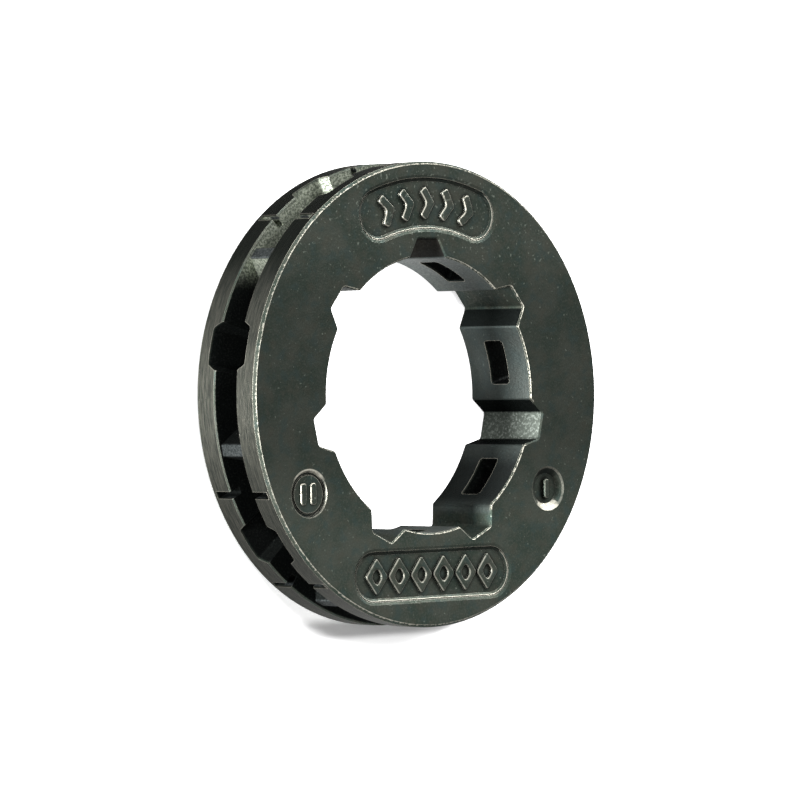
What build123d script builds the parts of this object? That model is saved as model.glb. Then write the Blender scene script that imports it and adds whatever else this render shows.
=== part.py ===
"""Rim sprocket for a chainsaw: one cast ring, splined in the bore.

Two smooth rims carry the chain's side straps. Between them runs a groove for
the drive links, crossed by a post over each bore spline. The gap between two
posts widens to a six-sided pocket at the rims and opens through a small window
into the bore.

Units are millimetres and degrees. The ring lies on its plain back face, with
the bore's axis along +Z, the origin at the middle of the back face and one
bore spline pointing along +Y.
"""
import os
from math import atan2, degrees, radians, sqrt, tan

from build123d import *

os.makedirs("parts", exist_ok=True)

# --- The ring -----------------------------------------------------------------
tooth_count = 7  # posts, gaps, windows and bore splines
rim_diameter = 37.4  # over the two rims
ring_width = 7.05  # back face to front face
rim_edge_break = 0.22  # chamfer on the two outer corners
top_angle = 90.0  # one spline and its post point this way

# --- The bore, splined for a loose fit on the drum's hub --------------------------
land_diameter = 22.25  # across the lands
spline_depth = 1.45  # land to root
spline_mouth_width = 3.83  # between a spline's corners on the land circle
spline_root_width = 2.18  # flat at the bottom of a spline
spline_corner_radius = 0.3
bore_edge_break = 0.12  # chamfer round the bore on both faces

# --- The drive-link groove and its posts --------------------------------------------
groove_width = 2.6  # clear width between the rims
groove_edge_break = 0.1  # chamfer on the rims' inner corners
floor_wall = 0.8  # metal between a spline's root and the gap's floor
post_crest_width = 0.95
post_recess = 0.3  # how far a crest lies below the rims
post_flank_angle = 23.0  # a flank's slope from the post's middle line
post_floor_radius = 1.3  # hollow where a flank meets the floor
post_crest_radius = 0.15

# --- The six-sided pocket at the middle of each gap ------------------------------------
pocket_width = 4.4  # along the bore's axis
pocket_length = 4.0  # round the rim, where the pocket leaves the groove
pocket_flat = 3.0  # round the rim, at the pocket's full width
pocket_depth = 4.1
pocket_corner_radius = 0.35
pocket_draft = 3.0  # the walls close in towards the floor

# --- The window from each gap into the bore ----------------------------------------------
window_length = 3.65  # round the bore
window_width = 2.15  # along the bore's axis
window_corner_radius = 0.3

# --- Axial slits in the rims, one on each side of every second pocket -----------------------
slit_width = 0.62
slit_depth = 1.0
slit_face_wall = 0.48  # metal left at each outer face
slit_spread = 14.5  # from the pocket's middle, in degrees
slit_pockets = (0, 2, 4)  # counted round from the pocket left of the top spline

# --- Sunk panels on the front face ------------------------------------------------------------
upper_panel_radius = 15.35  # middle line of the curved panel above the bore
upper_panel_width = 4.6
upper_panel_sweep = 40.1  # middle line, end centre to end centre, in degrees
lower_panel_radius = 14.42  # straight panel, opposite the curved one
lower_panel_length = 17.3
lower_panel_width = 4.5
shoulder_width = 0.25  # the outer slope of a panel's edge
shoulder_depth = 0.11
crease_width = 0.07  # a fine line between the edge's two slopes
crease_depth = 0.09
panel_slope_width = 0.2  # the inner slope, down to the panel's floor
panel_slope_depth = 0.13

# --- Two round panels, about a third of a turn from the top -------------------------------------
disc_place_radius = 15.2
dish_turn = -121.5  # from the top, in degrees: the deeper one, with a conical wall
dish_radius = 1.82
dish_floor_radius = 1.25
dish_depth = 0.42
seal_turn = 120.0  # the shallow one: a ring groove round a low boss
seal_radius = 1.88
seal_groove_width = 0.2
seal_slope_width = 0.12
seal_groove_depth = 0.22
seal_boss_height = 0.1

# --- What follows from the sizes above ---------------------------------------------------------
rim_radius = rim_diameter / 2
land_radius = land_diameter / 2
root_radius = land_radius + spline_depth
floor_radius = root_radius + floor_wall
crest_radius = rim_radius - post_recess
pitch_angle = 360 / tooth_count
first_gap_angle = top_angle + pitch_angle / 2
mid_width = ring_width / 2
front_face = Plane.XY.offset(ring_width)
crease_inset = shoulder_width + crease_width


def radial_plane(angle, radius):
    """A plane square to the radius at this angle: its x runs along the bore's axis."""
    middle = Vector(radius, 0, mid_width).rotate(Axis.Z, angle)
    outward = Vector(1, 0, 0).rotate(Axis.Z, angle)
    return Plane(origin=middle, x_dir=(0, 0, 1), z_dir=outward)


def wall_slope(width, depth):
    """The taper, in degrees, of a wall that moves in by this width over this depth."""
    return degrees(atan2(width, depth))


def panel_outlines(inset, mode=Mode.ADD):
    """Both long panels' outlines, drawn in by this much all round."""
    upper_middle = CenterArc(
        (0, 0),
        upper_panel_radius,
        top_angle - upper_panel_sweep / 2,
        upper_panel_sweep,
        mode=Mode.PRIVATE,
    )
    SlotArc(upper_middle, upper_panel_width - 2 * inset, mode=mode)
    with PolarLocations(lower_panel_radius, 1, start_angle=top_angle + 180):
        SlotOverall(
            lower_panel_length - 2 * inset,
            lower_panel_width - 2 * inset,
            rotation=90,
            mode=mode,
        )


def disc_outline(turn, radius):
    """A circle on the round panels' place circle, turned this far from the top."""
    with PolarLocations(disc_place_radius, 1, start_angle=top_angle + turn):
        Circle(radius)


def corner_radius(vertex):
    """Distance of a sketch corner from the bore's axis."""
    return sqrt(vertex.X**2 + vertex.Y**2)


with BuildPart() as rim_sprocket:
    # The ring's outline, with a trapezoid spline cut outwards from each land circle corner.
    mouth_half = spline_mouth_width / 2
    root_half = spline_root_width / 2
    mouth_reach = sqrt(land_radius**2 - mouth_half**2)
    root_reach = sqrt(root_radius**2 - root_half**2)
    # The flanks run on inwards past the land circle, so that the cut leaves no skin.
    overrun = 1.0
    overrun_half = mouth_half + overrun * (mouth_half - root_half) / (root_reach - mouth_reach)
    with BuildSketch() as ring_outline:
        Circle(rim_radius)
        Circle(land_radius, mode=Mode.SUBTRACT)
        with PolarLocations(0, tooth_count, start_angle=top_angle):
            Polygon(
                (mouth_reach - overrun, -overrun_half),
                (root_reach, -root_half),
                (root_reach, root_half),
                (mouth_reach - overrun, overrun_half),
                align=None,
                mode=Mode.SUBTRACT,
            )
        inner_corners = [v for v in ring_outline.vertices() if corner_radius(v) < rim_radius - 0.5]
        fillet(inner_corners, spline_corner_radius)
    extrude(amount=ring_width)

    # Edge breaks on the rims and round the bore, on both faces.
    faces_edges = rim_sprocket.edges().group_by(Axis.Z)
    flat_edges = faces_edges[0] + faces_edges[-1]
    outer_edges = [e for e in flat_edges if abs(e.bounding_box().size.X - rim_diameter) < 0.1]
    bore_edges = [e for e in flat_edges if e.bounding_box().size.X < land_diameter]
    chamfer(outer_edges, rim_edge_break)
    chamfer(bore_edges, bore_edge_break)

    # The drive-link groove: what is left of the ring there is a floor with a post over each spline.
    crest_half = post_crest_width / 2
    post_reach = sqrt(crest_radius**2 - crest_half**2)
    post_foot = floor_radius - post_floor_radius / 2
    foot_half = crest_half + (post_reach - post_foot) * tan(radians(post_flank_angle))
    with BuildSketch(Plane.XY.offset(mid_width)) as groove_outline:
        Circle(rim_radius + 1)
        with BuildSketch(mode=Mode.PRIVATE) as post_ring:
            Circle(floor_radius)
            with PolarLocations(0, tooth_count, start_angle=top_angle):
                Polygon(
                    (post_foot, -foot_half),
                    (post_reach, -crest_half),
                    (post_reach, crest_half),
                    (post_foot, foot_half),
                    align=None,
                )
            crest_corners = [v for v in post_ring.vertices() if corner_radius(v) > crest_radius - 0.5]
            fillet(crest_corners, post_crest_radius)
            floor_corners = [v for v in post_ring.vertices() if corner_radius(v) < floor_radius + 0.5]
            fillet(floor_corners, post_floor_radius)
        add(post_ring.sketch, mode=Mode.SUBTRACT)
    extrude(amount=groove_width / 2, both=True, mode=Mode.SUBTRACT)

    # The groove's mouth is broken by a small chamfer on each rim.
    with BuildSketch(Plane.XZ) as mouth_break:
        with Locations((rim_radius, mid_width)):
            break_half = groove_width / 2 + groove_edge_break
            Polygon(
                (0, break_half),
                (0, -break_half),
                (-groove_edge_break, -groove_width / 2),
                (-groove_edge_break, groove_width / 2),
                align=None,
            )
    revolve(axis=Axis.Z, mode=Mode.SUBTRACT)

    for gap in range(tooth_count):
        gap_angle = first_gap_angle + gap * pitch_angle

        # The pocket is cut straight in from outside the rims.
        with BuildSketch(radial_plane(gap_angle, rim_radius)) as pocket_outline:
            Polygon(
                (-pocket_width / 2, -pocket_flat / 2),
                (-groove_width / 2, -pocket_length / 2),
                (groove_width / 2, -pocket_length / 2),
                (pocket_width / 2, -pocket_flat / 2),
                (pocket_width / 2, pocket_flat / 2),
                (groove_width / 2, pocket_length / 2),
                (-groove_width / 2, pocket_length / 2),
                (-pocket_width / 2, pocket_flat / 2),
                align=None,
            )
            outer_corners = pocket_outline.vertices().group_by(Axis.Z)
            fillet(outer_corners[0] + outer_corners[-1], pocket_corner_radius)
        extrude(amount=-pocket_depth, taper=pocket_draft, mode=Mode.SUBTRACT)

        # The window goes from the gap's floor through the land.
        with BuildSketch(radial_plane(gap_angle, floor_radius)):
            RectangleRounded(window_width, window_length, window_corner_radius)
        extrude(amount=land_radius / 2 - floor_radius, mode=Mode.SUBTRACT)

    # The slits run through both rims and end short of the outer faces.
    for pocket in slit_pockets:
        for side in (-1, 1):
            slit_angle = first_gap_angle + pocket * pitch_angle + side * slit_spread
            with BuildSketch(radial_plane(slit_angle, rim_radius)):
                Rectangle(ring_width - 2 * slit_face_wall, slit_width)
            extrude(amount=-slit_depth, mode=Mode.SUBTRACT)

    # The edge of a long panel goes down in two slopes, with a fine crease between them.
    with BuildSketch(front_face):
        panel_outlines(0)
    extrude(
        amount=-shoulder_depth,
        taper=wall_slope(shoulder_width, shoulder_depth),
        mode=Mode.SUBTRACT,
    )
    with BuildSketch(front_face.offset(-shoulder_depth)):
        panel_outlines(shoulder_width)
        panel_outlines(crease_inset, mode=Mode.SUBTRACT)
    extrude(amount=-crease_depth, mode=Mode.SUBTRACT)
    with BuildSketch(front_face.offset(-shoulder_depth)):
        panel_outlines(crease_inset)
    extrude(
        amount=-panel_slope_depth,
        taper=wall_slope(panel_slope_width, panel_slope_depth),
        mode=Mode.SUBTRACT,
    )

    # The deeper round panel is a dish with a conical wall.
    with BuildSketch(front_face):
        disc_outline(dish_turn, dish_radius)
    extrude(
        amount=-dish_depth,
        taper=wall_slope(dish_radius - dish_floor_radius, dish_depth),
        mode=Mode.SUBTRACT,
    )

    # The shallow one is a groove with sloping walls, round a boss that stays below the face.
    seal_slope = wall_slope(seal_slope_width, seal_groove_depth)
    with BuildSketch(front_face):
        disc_outline(seal_turn, seal_radius)
    extrude(amount=-seal_groove_depth, taper=seal_slope, mode=Mode.SUBTRACT)
    with BuildSketch(front_face.offset(-seal_groove_depth)):
        disc_outline(seal_turn, seal_radius - seal_slope_width - seal_groove_width)
    extrude(amount=seal_boss_height, taper=seal_slope)

rim_sprocket.part.label = "rim_sprocket"
export_step(rim_sprocket.part, "parts/rim_sprocket.step")

print("rim_sprocket", rim_sprocket.part.bounding_box().size, round(rim_sprocket.part.volume, 2), "mm3")
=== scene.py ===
# %% [markdown]
# # A chainsaw's rim sprocket
# The part is a cast steel ring that a saw chain runs on. Two smooth rims carry the chain's
# side straps, and posts in the groove between them push its drive links. The ring itself
# comes finished from CAD, so this lesson is about its surface: a dark oxide skin with a
# fine cast grain, ground rims and edges rubbed bright. A few raised marks in the sunk
# panels, the light and the camera complete it.

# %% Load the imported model
from math import radians

import bmesh
import bpy
from mathutils import Matrix, Vector


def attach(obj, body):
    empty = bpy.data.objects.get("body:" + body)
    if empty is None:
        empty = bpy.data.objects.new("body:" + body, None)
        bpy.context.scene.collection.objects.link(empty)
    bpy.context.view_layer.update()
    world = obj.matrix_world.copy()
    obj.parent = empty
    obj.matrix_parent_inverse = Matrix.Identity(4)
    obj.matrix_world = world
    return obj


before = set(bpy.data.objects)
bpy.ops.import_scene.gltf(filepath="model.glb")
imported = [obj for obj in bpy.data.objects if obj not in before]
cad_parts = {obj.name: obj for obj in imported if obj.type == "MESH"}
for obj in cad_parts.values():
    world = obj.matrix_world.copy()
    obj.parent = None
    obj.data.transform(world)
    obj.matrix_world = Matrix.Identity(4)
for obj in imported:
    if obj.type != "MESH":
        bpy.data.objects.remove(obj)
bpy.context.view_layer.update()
rim_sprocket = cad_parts["rim_sprocket"]
MM = 0.001

# %% [markdown]
# ## The camera
# The photograph was taken with a long lens, about 400 mm from the ring, so its two rims
# look almost the same size. The camera's place and turn were solved from points on the
# ring's edges. It looks down on the ring, which lies on its back face.

# %% The camera
camera_data = bpy.data.cameras.new("camera")
camera_data.lens = 225.46
camera_data.sensor_width = 36.0
camera_data.clip_start = 0.01
camera = bpy.data.objects.new("camera", camera_data)
camera.location = (-0.273423, 0.003868, 0.301786)
camera.rotation_euler = (0.003952, -0.741814, -0.021605)
bpy.context.scene.collection.objects.link(camera)
bpy.context.scene.camera = camera
bpy.context.scene.view_settings.view_transform = "Standard"
print("camera distance, mm:", round(camera.location.length / MM))

# %% [markdown]
# ## Helpers for materials
# A material is a small graph of nodes. These helpers add one node and set its inputs in a
# single line, so that a recipe reads from top to bottom. A zone is a value that is 1
# inside and 0 outside, so zones are cut by a product and joined by the highest value.


# %% Node helpers
def add_node(tree, kind, inputs=None, **settings):
    """Add a node, set its properties, then fill its inputs with values or other nodes' outputs."""
    node = tree.nodes.new(kind)
    for name, value in settings.items():
        setattr(node, name, value)
    for name, value in (inputs or {}).items():
        socket = node.inputs[name]
        if isinstance(value, bpy.types.NodeSocket):
            tree.links.new(value, socket)
        else:
            socket.default_value = value
    return node


def maths(tree, operation, *values):
    """One arithmetic step on numbers."""
    return add_node(tree, "ShaderNodeMath", dict(enumerate(values)), operation=operation).outputs[0]


def product(tree, *values):
    """Multiply any number of values."""
    result = values[0]
    for value in values[1:]:
        result = maths(tree, "MULTIPLY", result, value)
    return result


def highest(tree, *values):
    """The highest of any number of values."""
    result = values[0]
    for value in values[1:]:
        result = maths(tree, "MAXIMUM", result, value)
    return result


def inverse(tree, value):
    """1 where a zone is 0, and 0 where it is 1."""
    return maths(tree, "SUBTRACT", 1.0, value)


def away_from(tree, value, centre):
    """How far a value lies from a centre, to either side."""
    return maths(tree, "ABSOLUTE", maths(tree, "SUBTRACT", value, centre))


# %% Helpers for soft edges and places
def ramp_between(tree, value, low, high, to_low=0.0, to_high=1.0):
    """Map a value smoothly from one range to another, held at both ends."""
    ranges = {"From Min": low, "From Max": high, "To Min": to_low, "To Max": to_high}
    inputs = {"Value": value, **ranges}
    return add_node(tree, "ShaderNodeMapRange", inputs, interpolation_type="SMOOTHSTEP").outputs[0]


def in_band(tree, value, rise, fall):
    """1 within a band of values. Its two soft edges are pairs: where each starts and ends."""
    above = ramp_between(tree, value, rise[0], rise[1])
    below = ramp_between(tree, value, fall[1], fall[0])
    return product(tree, above, below)


def distance_on_face(tree, x, y, centre=(0.0, 0.0)):
    """How far a point lies from a centre, seen along Z."""
    across = maths(tree, "SUBTRACT", x, centre[0])
    up = maths(tree, "SUBTRACT", y, centre[1])
    squares = maths(tree, "ADD", product(tree, across, across), product(tree, up, up))
    return maths(tree, "SQRT", squares)


# %% Helpers for patterns and colours
def noise(tree, vector, scale, detail=2.0, roughness=0.5):
    """A noise pattern's grey value. The scale counts patches per millimetre."""
    inputs = {"Vector": vector, "Scale": scale, "Detail": detail, "Roughness": roughness}
    return add_node(tree, "ShaderNodeTexNoise", inputs).outputs["Fac"]


def rgb(red, green, blue):
    """An opaque colour."""
    return (red, green, blue, 1.0)


def blend_colours(tree, factor, first, second, blend_type="MIX"):
    """Mix two colours, or colour outputs, by a factor."""
    inputs = {0: factor, 6: first, 7: second}
    mix = add_node(tree, "ShaderNodeMix", inputs, data_type="RGBA", blend_type=blend_type)
    return mix.outputs[2]


def blend_values(tree, factor, first, second):
    """Mix two numbers by a factor."""
    return add_node(tree, "ShaderNodeMix", {0: factor, 2: first, 3: second}).outputs[0]


# %% [markdown]
# ## The steel's surface
# The ring is investment cast, its rims are ground, and the whole part is blackened. So one
# piece has several looks: a dark, faintly green skin with a fine grain on the faces,
# lighter rims with fine lines that run round them, a coarse near-black colour down in the
# groove that is painted shade, and a pale colour like scale in the groove's upper part that
# is painted light. Each look is picked by where a point lies. Object coordinates tell that
# in millimetres once they are scaled, and the true normal tells a face from a wall.

# %% The material's coordinates
cast_steel = bpy.data.materials.new("cast_steel_skin")
cast_steel.use_nodes = True
tree = cast_steel.node_tree
tree.nodes.clear()

coordinates = add_node(tree, "ShaderNodeTexCoord")
in_mm = add_node(
    tree, "ShaderNodeVectorMath", {0: coordinates.outputs["Object"], 3: 1 / MM}, operation="SCALE"
).outputs[0]
x, y, z = add_node(tree, "ShaderNodeSeparateXYZ", {0: in_mm}).outputs
radius = distance_on_face(tree, x, y)
turn = maths(tree, "ARCTAN2", y, x)  # round the axis from +X, in radians

surface = add_node(tree, "ShaderNodeNewGeometry")
facing = add_node(tree, "ShaderNodeSeparateXYZ", {0: surface.outputs["True Normal"]})
facing_up = facing.outputs[1]  # towards the picture's top edge
flatness = maths(tree, "ABSOLUTE", facing.outputs[2])  # 1 on a face, 0 on a wall
is_wall = ramp_between(tree, flatness, 0.5, 0.3)
is_chamfer = in_band(tree, flatness, (0.60, 0.66), (0.74, 0.79))

# %% [markdown]
# ### Zones
# Most zones are bands of the radius, of the height or of the turn round the axis. Lengths
# are millimetres and turns are radians. Each pair is one soft edge, placed just beside the
# ring's own edge, so that two looks meet where the metal bends.

# %% The ring's own lengths
tooth_count = 7  # windows, posts and splines
face_height = 7.05
rim_radius = 18.7
crest_radius = 18.4  # the posts' outer ends
root_radius = 12.575  # the splines' floors
land_radius = 11.125  # the lands between the splines

# %% Zones of the rims and the groove
on_rim = product(tree, is_wall, ramp_between(tree, radius, rim_radius - 0.3, rim_radius - 0.08))
between_rims = in_band(tree, z, (1.2, 1.35), (5.7, 5.85))
crest_rise, crest_fall = (crest_radius - 0.2, crest_radius - 0.08), (18.48, 18.55)
on_crest = product(tree, between_rims, is_wall, in_band(tree, radius, crest_rise, crest_fall))

groove_height = in_band(tree, z, (0.3, 0.4), (6.5, 6.6))
groove_depth = in_band(tree, radius, (12.75, 12.95), (18.45, rim_radius - 0.04))
window_wave = maths(tree, "SINE", product(tree, turn, tooth_count))  # over 0 round each window
window_depth = in_band(tree, radius, (land_radius + 0.075, 11.35), (12.8, 13.0))
in_window = product(tree, between_rims, ramp_between(tree, window_wave, 0.0, 0.2), window_depth)
in_groove = highest(tree, product(tree, groove_height, groove_depth), in_window)
# Painted light: the groove's upper part, where the light reaches in, gets a pale colour
lit_upper_groove = product(
    tree,
    ramp_between(tree, y, 8.5, 11.0),
    ramp_between(tree, x, 4.0, 2.0),
    ramp_between(tree, radius, 13.1, 13.4),
)
shade_towards_top = ramp_between(tree, y, 7.0, 12.0)

# %% [markdown]
# In the bore, three flanks, the top spline and one land lie turned away from all light,
# so their dark colour is painted shade.
# The floor of the spline at the right is painted lighter, for the light it catches.

# %% Zones of the bore
in_bore = product(tree, is_wall, ramp_between(tree, radius, 11.9, 11.5))
root_rise, root_fall = (12.25, 12.4), (root_radius + 0.175, root_radius + 0.325)
spline_floors = product(tree, is_wall, in_band(tree, radius, root_rise, root_fall))
right_spline_turn = -0.224
at_right_spline = ramp_between(tree, away_from(tree, turn, right_spline_turn), 0.17, 0.13)
painted_light_on_spline = product(tree, spline_floors, at_right_spline)

past_land = (land_radius + 0.045, land_radius + 0.125)
flank_turns = (
    ((0.494, 0.50), (0.59, 0.596)),
    ((-0.146, -0.142), (-0.048, -0.044)),
    ((-0.406, -0.40), (-0.315, -0.309)),
)
at_flanks = highest(tree, *[in_band(tree, turn, rise, fall) for rise, fall in flank_turns])
flanks_in_painted_shade = product(tree, is_wall, at_flanks, in_band(tree, radius, past_land, (12.42, 12.5)))

at_top_spline = in_band(tree, turn, (1.38, 1.39), (1.75, 1.76))
in_top_spline = product(tree, at_top_spline, in_band(tree, radius, past_land, (12.9, 12.98)))
top_spline_in_painted_shade = product(tree, in_top_spline, is_wall)
on_lands = product(tree, in_bore, ramp_between(tree, radius, 11.4, land_radius + 0.125))
land_in_painted_shade = product(tree, on_lands, in_band(tree, turn, (-1.07, -0.85), (-0.60, -0.38)))

# %% Zones of the sunk panels
dish_place, seal_place = (12.93, -7.95), (-13.16, -7.6)  # the two round panels' middles
panels_end = ramp_between(tree, radius, 18.2, 18.0)
from_dish = distance_on_face(tree, x, y, dish_place)
from_seal = distance_on_face(tree, x, y, seal_place)
in_dish = ramp_between(tree, from_dish, 2.7, 2.55)
by_marks = product(
    tree, ramp_between(tree, z, 6.92, 6.95), ramp_between(tree, radius, 12.7, 12.85), panels_end
)
in_sunk_shade = product(  # panel slopes that face down the picture
    tree,
    ramp_between(tree, z, 6.3, 6.4),
    ramp_between(tree, facing_up, -0.41, -0.48),
    ramp_between(tree, flatness, 0.75, 0.79),
    panels_end,
)

# %% [markdown]
# ### Patterns
# Noises of different sizes make the grain, the stains and the pale flecks. The grinding
# lines are a noise too: it is read from the turn and the height, which stretches it
# round the rim.

# %% Grain, flecks and grinding lines
fine_grain = noise(tree, in_mm, scale=5.5, detail=4.0, roughness=0.65)
coarse_grain = noise(tree, in_mm, scale=1.6, detail=3.0, roughness=0.6)
clouds = noise(tree, in_mm, scale=0.28, detail=3.0, roughness=0.55)
stains = noise(tree, in_mm, scale=0.85)
chips = noise(tree, in_mm, scale=2.4, detail=5.0, roughness=0.75)
scale_grain = noise(tree, in_mm, scale=4.0, detail=3.0, roughness=0.7)
fleck_noise = noise(tree, in_mm, scale=3.1, roughness=0.55)
more_at_top = ramp_between(tree, y, 6.0, 15.0, to_high=0.05)
flecks = ramp_between(tree, maths(tree, "ADD", fleck_noise, more_at_top), 0.68, 0.74)

stretch_round, stretch_along = 13.0, 17.0
round_the_rim = add_node(
    tree,
    "ShaderNodeCombineXYZ",
    {0: product(tree, turn, stretch_round), 1: product(tree, z, stretch_along), 2: radius},
).outputs[0]
ground_lines = noise(tree, round_the_rim, scale=1.0, detail=4.0, roughness=0.7)

# %% [markdown]
# ### Rubbed metal
# Handling rubs the skin off the edges. The Bevel node finds them: it averages the
# surface's direction over a small distance, and where that differs from the true one
# there is an edge. Ambient occlusion leaves out the edges that lie in a hollow, and a
# noise breaks the line up, because no edge wears evenly.

# %% Worn edges and chamfers
edge_reach = add_node(tree, "ShaderNodeBevel", {"Radius": 0.11 * MM}, samples=6)
sameness = add_node(
    tree,
    "ShaderNodeVectorMath",
    {0: edge_reach.outputs[0], 1: surface.outputs["Normal"]},
    operation="DOT_PRODUCT",
).outputs["Value"]
bend = inverse(tree, sameness)
chipped_bend = maths(tree, "ADD", bend, product(tree, chips, 0.16))
hollow = add_node(
    tree, "ShaderNodeAmbientOcclusion", {"Distance": 0.5 * MM}, samples=4, only_local=True
).outputs["AO"]
worn_edges = product(
    tree,
    ramp_between(tree, bend, 0.02, 0.05),
    ramp_between(tree, chipped_bend, 0.13, 0.19),
    ramp_between(tree, hollow, 0.55, 0.85),
    ramp_between(tree, in_groove, 1.0, 0.6),
)

grainy_height = maths(tree, "ADD", z, product(tree, fine_grain, 0.45))
less_at_left = ramp_between(tree, away_from(tree, turn, 0.0), 2.45, 2.75, to_low=1.0, to_high=0.45)
front_edge = ramp_between(tree, grainy_height, 7.222, 7.262)
worn_chamfers = product(tree, is_chamfer, less_at_left, front_edge)

# %% [markdown]
# Some edges keep their skin: those of the splines at the right and at the top, the front
# rim's inner one, and what lies in the panels' shade. The marks' rounded tops are rubbed.
# The slope of each round panel that faces the light gets the worn colour as a painted highlight.

# %% Sheltered edges, worn marks and the round panels' painted highlights
by_right_splines = product(
    tree,
    in_band(tree, radius, (11.45, 11.6), (13.2, 13.4)),
    ramp_between(tree, away_from(tree, turn, -0.25), 0.79, 0.77),
)
rim_inner_edge = product(
    tree, ramp_between(tree, radius, 18.25, 18.35), ramp_between(tree, z, 6.55, 6.4)
)
kept_edges = highest(tree, by_right_splines, in_top_spline, product(tree, rim_inner_edge, 0.65))
sheltered = highest(tree, kept_edges, in_sunk_shade, product(tree, in_dish, 0.7))

worn_marks = product(
    tree,
    by_marks,
    in_band(tree, flatness, (0.42, 0.46), (0.808, 0.822)),  # the marks' rounded tops
    ramp_between(tree, away_from(tree, from_seal, 1.75), 0.4, 0.5, to_low=0.2),
    ramp_between(tree, y, -12.0, -11.0, to_low=0.6),
    ramp_between(tree, chips, 0.38, 0.5, to_low=0.15, to_high=0.75),
    inverse(tree, product(tree, in_dish, 0.65)),
)

# Painted highlight: the slope of each round panel that faces the light gets the worn colour
dish_slope = ramp_between(tree, from_dish, 1.0, 1.1)
dish_highlight = product(tree, in_dish, dish_slope, ramp_between(tree, facing_up, 0.38, 0.5))
seal_slope = ramp_between(tree, away_from(tree, from_seal, 1.86), 0.17, 0.09)
seal_highlight = product(tree, seal_slope, ramp_between(tree, y, -6.6, -6.2))
highlight_breakup = ramp_between(tree, chips, 0.34, 0.5, to_low=0.35, to_high=0.9)
painted_ring_highlights = product(tree, highest(tree, dish_highlight, seal_highlight), highlight_breakup)

rubbed = product(tree, highest(tree, worn_edges, worn_chamfers), inverse(tree, sheltered))
# Worn metal and the painted highlights share one colour
wear_and_highlights = highest(tree, rubbed, worn_marks, painted_ring_highlights)

# %% [markdown]
# ### Colours
# The face's skin is mixed first, from two dark greens, with grain, brown and blue stains
# and flecks over them, then made lighter below the middle and near the top as painted light.
# Then each zone lays its own skin over the face's, some as painted light and some as painted
# shade, the corners get painted shade, and the worn metal and painted highlights come last.

# %% The skin of the faces
skin = blend_colours(
    tree, ramp_between(tree, clouds, 0.38, 0.62), rgb(0.037, 0.051, 0.040), rgb(0.060, 0.069, 0.056)
)
skin_layers = (
    (ramp_between(tree, fine_grain, 0.45, 0.72, to_high=0.75), rgb(0.085, 0.096, 0.080)),
    (ramp_between(tree, stains, 0.52, 0.68, to_high=0.35), rgb(0.070, 0.068, 0.052)),
    (ramp_between(tree, stains, 0.48, 0.34, to_high=0.45), rgb(0.040, 0.064, 0.060)),
    (product(tree, flecks, 0.55), rgb(0.23, 0.26, 0.22)),
)
for amount, layer in skin_layers:
    skin = blend_colours(tree, amount, skin, layer)
# Painted light and shade: the face is lighter below its middle and towards the top, darker between
below_middle = ramp_between(tree, y, -11.5, -3.0, to_low=1.25, to_high=0.78)
added_above = ramp_between(tree, y, 7.0, 12.5, to_high=0.22)
painted_face_light = maths(tree, "ADD", below_middle, added_above)
skin = blend_colours(tree, 1.0, skin, painted_face_light, "MULTIPLY")

# %% The skins of the rims and the posts' crests, and the painted light and shade on the rims, in the groove and on the spline at the right
rim_skin_and_shade = blend_colours(
    tree,
    ramp_between(tree, ground_lines, 0.38, 0.62),
    rgb(0.020, 0.024, 0.020),
    rgb(0.074, 0.074, 0.061),
)
# Painted shade: the rims grow darker towards the top
rim_skin_and_shade = blend_colours(tree, product(tree, shade_towards_top, 0.85), rim_skin_and_shade, rgb(0.012, 0.015, 0.013))
# Painted shade and light in the groove: near-black down in it, pale in its upper part
groove_painted_shade = blend_colours(
    tree,
    ramp_between(tree, fine_grain, 0.48, 0.68),
    rgb(0.004, 0.0055, 0.005),
    rgb(0.020, 0.023, 0.021),
)
groove_painted_light = blend_colours(
    tree, ramp_between(tree, fine_grain, 0.4, 0.66), rgb(0.11, 0.125, 0.10), rgb(0.43, 0.46, 0.38)
)
groove_painted_light_and_shade = blend_colours(tree, lit_upper_groove, groove_painted_shade, groove_painted_light)
crest_skin = blend_colours(
    tree,
    ramp_between(tree, fine_grain, 0.4, 0.65),
    rgb(0.016, 0.020, 0.020),
    rgb(0.07, 0.078, 0.078),
)
spline_painted_light = blend_colours(
    tree, ramp_between(tree, scale_grain, 0.48, 0.66), rgb(0.13, 0.15, 0.13), rgb(0.34, 0.38, 0.34)
)

# %% Painted shade in the panels' corners
corner_depth = add_node(
    tree, "ShaderNodeAmbientOcclusion", {"Distance": 0.4 * MM}, samples=6
).outputs["AO"]
shade_in_panel_corners = product(
    tree,
    ramp_between(tree, z, 6.4, 6.5),
    ramp_between(tree, radius, 12.75, 12.9),
    panels_end,
    ramp_between(tree, corner_depth, 0.95, 0.78),
)
# Painted shade: the panels' corners and their slopes that face down are darkened
corners = highest(tree, shade_in_panel_corners, product(tree, in_sunk_shade, 0.7))

# %% All colours, zone by zone
colour = skin
zone_layers = (
    (on_rim, rim_skin_and_shade),
    (product(tree, in_bore, 0.45), rgb(0.092, 0.110, 0.110)),
    # Painted light on the floor of the spline at the right
    (painted_light_on_spline, spline_painted_light),
    # Painted shade on the lower right land, three flanks and the top spline's walls
    (product(tree, land_in_painted_shade, 0.8), rgb(0.016, 0.018, 0.018)),
    (flanks_in_painted_shade, rgb(0.012, 0.015, 0.014)),
    (product(tree, top_spline_in_painted_shade, 0.85), rgb(0.018, 0.015, 0.014)),
    (in_groove, groove_painted_light_and_shade),
    (on_crest, crest_skin),
    (product(tree, corners, 0.92), rgb(0.004, 0.005, 0.0045)),
    (wear_and_highlights, rgb(0.56, 0.54, 0.46)),
)
for amount, layer in zone_layers:
    colour = blend_colours(tree, amount, colour, layer)

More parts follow.
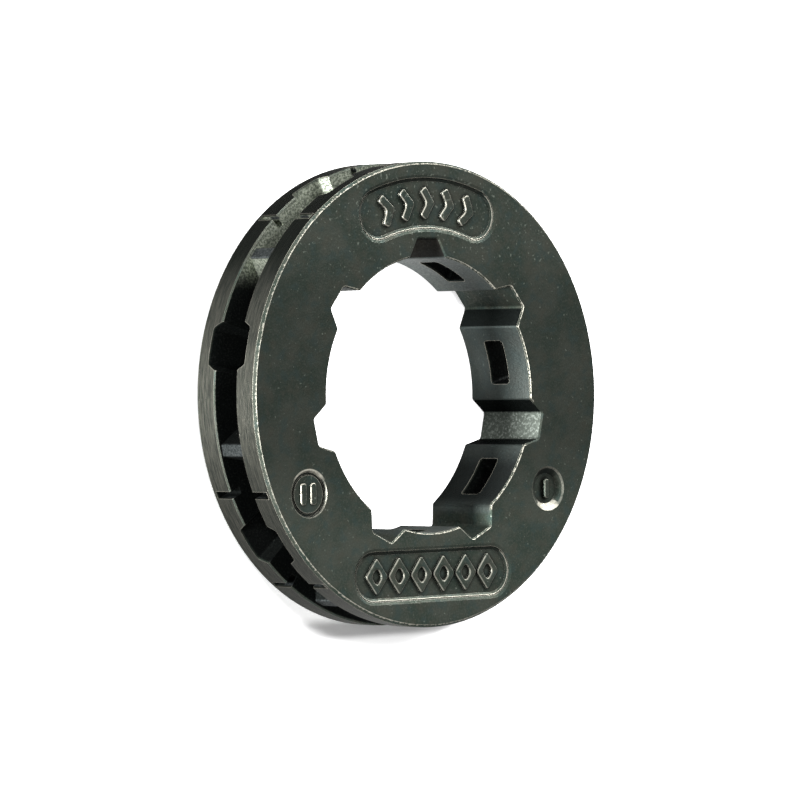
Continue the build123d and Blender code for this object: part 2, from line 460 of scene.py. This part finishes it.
# %% [markdown]
# ### Shine and relief
# Rims and worn metal have a roughness of their own. Metal shines brighter at a glancing
# angle, so the zones with painted shade also get a dark edge tint, which paints shade into
# their reflections. The relief is true to size: its height is in millimetres.

# %% Roughness, relief and the shader
rim_roughness, worn_roughness = 0.44, 0.54
roughness = ramp_between(tree, fine_grain, 0.3, 0.7, to_low=0.62, to_high=0.46)
roughness = blend_values(tree, on_rim, roughness, rim_roughness)
roughness = blend_values(tree, wear_and_highlights, roughness, worn_roughness)

rims_in_painted_shade = product(tree, shade_towards_top, on_rim)
painted_shade_zones = highest(tree, flanks_in_painted_shade, rims_in_painted_shade, land_in_painted_shade, top_spline_in_painted_shade)
edge_tint = blend_colours(tree, painted_shade_zones, rgb(1.0, 1.0, 1.0), rgb(0.28, 0.28, 0.28))

cast_height = maths(
    tree, "ADD", product(tree, fine_grain, 0.024), product(tree, coarse_grain, 0.03)
)
height = blend_values(tree, on_rim, cast_height, product(tree, ground_lines, 0.02))
relief = add_node(tree, "ShaderNodeBump", {"Strength": 1.0, "Distance": MM, "Height": height})
steel = add_node(
    tree,
    "ShaderNodeBsdfPrincipled",
    {
        "Base Color": colour,
        "Metallic": 0.9,
        "Roughness": roughness,
        "Specular Tint": edge_tint,
        "Normal": relief.outputs[0],
    },
)
add_node(tree, "ShaderNodeOutputMaterial", {"Surface": steel.outputs[0]})
rim_sprocket.material_slots[0].material = cast_steel
print("nodes in the steel:", len(tree.nodes))

# %% [markdown]
# ## Raised marks in the sunk panels
# Each sunk panel of such a ring carries cast marks that stop just under the face, so that
# they can't rub on the washer. Here they are plain shapes. A cast mark needs sloping walls
# to leave its mould, so each starts as a flat outline: an inset makes a smaller copy of
# it, that copy is lifted, and the ring of faces between the two becomes the sloping wall.
# A bevel rounds the top edge.


# %% One raised mark
def raised_mark(outline, floor, top, wall=0.07, rounding=0.13):
    """Turn a bmesh with a flat outline into a raised mark between two heights, in millimetres."""
    lid = outline.faces[:]
    sink = 0.03  # its foot reaches a little into the panel, so that no light gets under it
    bmesh.ops.translate(outline, vec=(0, 0, floor - sink), verts=outline.verts)
    bmesh.ops.inset_region(
        outline, faces=lid, thickness=wall, use_boundary=True, use_even_offset=True
    )
    lid_corners = list({corner for face in lid for corner in face.verts})
    bmesh.ops.translate(outline, vec=(0, 0, top - floor + sink), verts=lid_corners)
    rim = [e for face in lid for e in face.edges if sum(f in lid for f in e.link_faces) == 1]
    bmesh.ops.bevel(
        outline, geom=rim, offset=rounding, segments=3, affect="EDGES", profile=0.5, material=-1
    )
    foot = [e for e in outline.edges if e.is_boundary]
    if len(lid) == 1:
        bmesh.ops.contextual_create(outline, geom=foot)
    else:
        bmesh.ops.bridge_loops(outline, edges=foot)
    bmesh.ops.recalc_face_normals(outline, faces=outline.faces)
    return outline


# %% The marks' flat outlines
def rounded_shape(outline, points, corner):
    """Add one flat face through these points, with rounded corners."""
    corners = [outline.verts.new((px, py, 0)) for px, py in points]
    outline.faces.new(corners)
    rounding = {"offset": corner, "segments": 4, "profile": 0.5}
    bmesh.ops.bevel(outline, geom=corners, affect="VERTICES", material=-1, **rounding)
    return outline


def bar_outline(length, width, corner):
    """A flat bar along X."""
    end, side = length / 2, width / 2
    points = [(-end, -side), (end, -side), (end, side), (-end, side)]
    return rounded_shape(bmesh.new(), points, corner)


def chevron_outline(half, lead, stroke, corner):
    """A flat chevron that points along +X, its arms cut square at their ends."""
    along = Vector((-lead, half)).normalized()  # from the point up the upper arm
    across = Vector((along.y, -along.x)) * (stroke / 2)
    point, end = Vector((lead / 2, 0)), Vector((-lead / 2, half))
    reach = Vector((stroke / 2 / along.y, 0))
    outer, inner = end + across, end - across
    points = [
        inner,
        point - reach,
        Vector((inner.x, -inner.y)),
        Vector((outer.x, -outer.y)),
        point + reach,
        outer,
    ]
    return rounded_shape(bmesh.new(), [tuple(p) for p in points], corner)


def lozenge_outline(width, height, stroke, corner):
    """A flat frame in the shape of a lozenge: two loops of corners, bridged into a ring."""
    in_per_stroke, down_per_stroke = 1.28, 1.59  # how far the stroke moves the inner corners
    outline = bmesh.new()
    for inset in (0, stroke):
        across, up = width / 2 - inset * in_per_stroke, height / 2 - inset * down_per_stroke
        rounded_shape(outline, [(-across, 0), (0, -up), (across, 0), (0, up)], corner)
    bmesh.ops.delete(outline, geom=outline.faces[:], context="FACES_ONLY")
    bmesh.ops.bridge_loops(outline, edges=outline.edges[:])
    return outline


# %% Groups of marks
def add_mark(group, mark, centre, turn_degrees):
    """Put a finished mark into the group at this place, turned about Z."""
    move = Matrix.Translation((*centre, 0)) @ Matrix.Rotation(radians(turn_degrees), 4, "Z")
    bmesh.ops.transform(mark, matrix=move, verts=mark.verts)
    step = bpy.data.meshes.new("step")
    mark.to_mesh(step)
    group.from_mesh(step)
    bpy.data.meshes.remove(step)
    mark.free()


def finish_marks(name, group):
    """Scale a group of marks to metres and hand it to the ring."""
    bmesh.ops.scale(group, vec=(MM, MM, MM), verts=group.verts)
    mesh = bpy.data.meshes.new(name)
    group.to_mesh(mesh)
    group.free()
    mesh.shade_flat()
    piece = bpy.data.objects.new(name, mesh)
    mesh.materials.append(cast_steel)
    bpy.context.scene.collection.objects.link(piece)
    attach(piece, "root")
    print(name, "faces:", len(mesh.polygons))


# %% [markdown]
# ### Chevrons in the curved panel
# Five chevrons follow the panel's middle line and show which way the rim runs. Their
# places on the arc come from the same radius as the panel's.

# %% The chevrons
panel_floor = face_height - 0.24
mark_top = face_height - 0.03
arc_radius, arc_step = 15.35, 8.2  # millimetres, degrees
chevrons = bmesh.new()
for step in range(-2, 3):  # five, with the middle one at the top
    angle = 90 - step * arc_step
    centre = Matrix.Rotation(radians(angle), 2) @ Vector((arc_radius, 0))
    outline = chevron_outline(half=1.2, lead=0.85, stroke=0.82, corner=0.25)
    add_mark(chevrons, raised_mark(outline, panel_floor, mark_top), centre, angle - 90)
finish_marks("upper_panel_marks", chevrons)

# %% [markdown]
# ### Lozenges in the straight panel
# Six lozenge frames stand in a row in the straight panel below the bore.

# %% The lozenges
lozenge_count, lozenge_pitch, row_height = 6, 2.42, -14.42
lozenges = bmesh.new()
for step in range(lozenge_count):
    outline = lozenge_outline(width=2.55, height=3.2, stroke=0.6, corner=0.27)
    centre = ((step - (lozenge_count - 1) / 2) * lozenge_pitch, row_height)
    add_mark(lozenges, raised_mark(outline, panel_floor, mark_top), centre, 0)
finish_marks("lower_panel_marks", lozenges)

# %% [markdown]
# ### Marks in the two round panels
# The deeper panel holds one bar. The shallow one has two short bars on its boss.

# %% The round panels' marks
dish_floor = face_height - 0.42
boss_top = face_height - 0.12
bar_width, boss_bar_offset = 0.62, 0.52
round_marks = bmesh.new()
dish_bar = raised_mark(bar_outline(1.7, bar_width, 0.25), dish_floor, face_height - 0.06)
add_mark(round_marks, dish_bar, dish_place, 90)
for side in (-boss_bar_offset, boss_bar_offset):
    outline = bar_outline(1.75, bar_width, 0.24)
    mark = raised_mark(outline, boss_top, face_height - 0.02, wall=0.04, rounding=0.09)
    add_mark(round_marks, mark, (seal_place[0] + side, seal_place[1]), 90)
finish_marks("round_panel_marks", round_marks)

# %% [markdown]
# ## Floor
# The ring lies on a floor that the camera sees as white. A white floor would also fill
# the dark groove with light, so for every other ray it is dark grey. Reflections see two
# glowing patches painted on it, each in place of a bright card: one shows in the bore's
# upper walls and one in the rims at the left. The floor's glow for the camera makes it
# plain white inside the bore and beyond the narrow band below the ring, and leaves the
# ring's shadow in that band.

# %% The floor's mesh
floor_outline = bmesh.new()
bmesh.ops.create_grid(floor_outline, x_segments=1, y_segments=1, size=3.0)
floor_mesh = bpy.data.meshes.new("floor")
floor_outline.to_mesh(floor_mesh)
floor_outline.free()
floor = bpy.data.objects.new("floor", floor_mesh)
bpy.context.scene.collection.objects.link(floor)

# %% The floor's colour
floor_finish = bpy.data.materials.new("floor_finish")
floor_finish.use_nodes = True
floor_tree = floor_finish.node_tree
floor_shader = floor_tree.nodes["Principled BSDF"]
floor_shader.inputs["Roughness"].default_value = 0.9
ray = add_node(floor_tree, "ShaderNodeLightPath")
seen = ray.outputs["Is Camera Ray"]
floor_colour = blend_colours(floor_tree, seen, rgb(0.12, 0.12, 0.12), rgb(0.95, 0.95, 0.95))
floor_tree.links.new(floor_colour, floor_shader.inputs["Base Color"])
floor_mesh.materials.append(floor_finish)

# %% What reflections see of the floor
floor_point = add_node(floor_tree, "ShaderNodeTexCoord").outputs["Object"]
floor_axes = add_node(floor_tree, "ShaderNodeSeparateXYZ", {0: floor_point})
floor_x, floor_y = floor_axes.outputs[0], floor_axes.outputs[1]
from_middle = distance_on_face(floor_tree, floor_x, floor_y)
# Painted reflections: two patches of the floor glow for reflections only
bore_glow_patch = product(
    floor_tree,
    ramp_between(floor_tree, from_middle, 14 * MM, 11 * MM),
    ramp_between(floor_tree, floor_y, 2 * MM, 9 * MM),
)
left_glow_patch = product(
    floor_tree,
    ramp_between(floor_tree, floor_x, -16 * MM, -18 * MM),
    ramp_between(floor_tree, maths(floor_tree, "ABSOLUTE", floor_y), 11 * MM, 5 * MM),
)
faint_glow, bore_patch_glow, left_patch_glow = 0.05, 1.7, 0.55
glow_patches = highest(
    floor_tree,
    product(floor_tree, bore_glow_patch, bore_patch_glow),
    product(floor_tree, left_glow_patch, left_patch_glow),
)
open_floor = ramp_between(floor_tree, from_middle, 15 * MM, 20 * MM, faint_glow, 0.35)
mirrored = highest(floor_tree, ray.outputs["Is Glossy Ray"], ray.outputs["Is Transmission Ray"])
mirrored_glow = product(floor_tree, mirrored, highest(floor_tree, glow_patches, open_floor))

# %% What the camera sees of it
seen_glow = highest(
    floor_tree,
    ramp_between(floor_tree, from_middle, 12.6 * MM, 12.2 * MM, faint_glow, 0.9),
    ramp_between(floor_tree, floor_y, -19.25 * MM, -20.0 * MM, faint_glow, 0.6),
    ramp_between(floor_tree, floor_y, -18.7 * MM, -17.6 * MM, faint_glow, 0.6),
)
glow = highest(floor_tree, product(floor_tree, seen, seen_glow), mirrored_glow)
floor_shader.inputs["Emission Color"].default_value = rgb(1.0, 1.0, 1.0)
floor_tree.links.new(glow, floor_shader.inputs["Emission Strength"])

# %% [markdown]
# ## Light
# The surroundings are white to the camera and dim to everything else. Five soft lamps
# light the ring. The top lamp stands beyond the picture's upper edge and lights the
# slopes that face it, and a second one reaches the slopes that face right. The front lamp
# stands by the camera and gives the face its tone. The left lamp is low and shines only
# in reflections on the rims. The shadow lamp shines down from above the upper edge and
# shows in no reflection: the ring's shadow below it is this lamp's.

# %% The surroundings
surroundings = bpy.data.worlds.new("surroundings")
bpy.context.scene.world = surroundings
surroundings.use_nodes = True
sky = surroundings.node_tree
sky.nodes.clear()
sky_ray = add_node(sky, "ShaderNodeLightPath")
dim_light = 0.30  # what the surroundings give the ring
sky_strength = highest(sky, sky_ray.outputs["Is Camera Ray"], dim_light)
sky_inputs = {"Color": rgb(1, 1, 1), "Strength": sky_strength}
sky_light = add_node(sky, "ShaderNodeBackground", sky_inputs)
add_node(sky, "ShaderNodeOutputWorld", {"Surface": sky_light.outputs[0]})


# %% The lamps
def area_lamp(name, place_mm, size_mm, watts):
    """A soft lamp with a rectangular face that is turned to the ring's middle."""
    ring_middle = Vector((0, 0, 4))
    data = bpy.data.lights.new(name, "AREA")
    data.shape = "RECTANGLE"
    data.size, data.size_y = size_mm[0] * MM, size_mm[1] * MM
    data.energy = watts
    lamp = bpy.data.objects.new(name, data)
    lamp.location = Vector(place_mm) * MM
    look = (ring_middle - Vector(place_mm)).normalized()
    lamp.rotation_euler = look.to_track_quat("-Z", "Y").to_euler()
    bpy.context.scene.collection.objects.link(lamp)
    return lamp


area_lamp("top_lamp", place_mm=(0, 430, 140), size_mm=(240, 120), watts=1.15)
area_lamp("slope_lamp", place_mm=(310, 280, 170), size_mm=(160, 110), watts=1.5)
area_lamp("front_lamp", place_mm=(-420, -40, 420), size_mm=(300, 300), watts=0.42)
left_lamp = area_lamp("left_lamp", place_mm=(-417, -15, 45), size_mm=(100, 60), watts=9.3)
left_lamp.visible_diffuse = False
shadow_lamp = area_lamp("shadow_lamp", place_mm=(-70, 120, 415), size_mm=(110, 70), watts=4.0)
shadow_lamp.visible_glossy = False
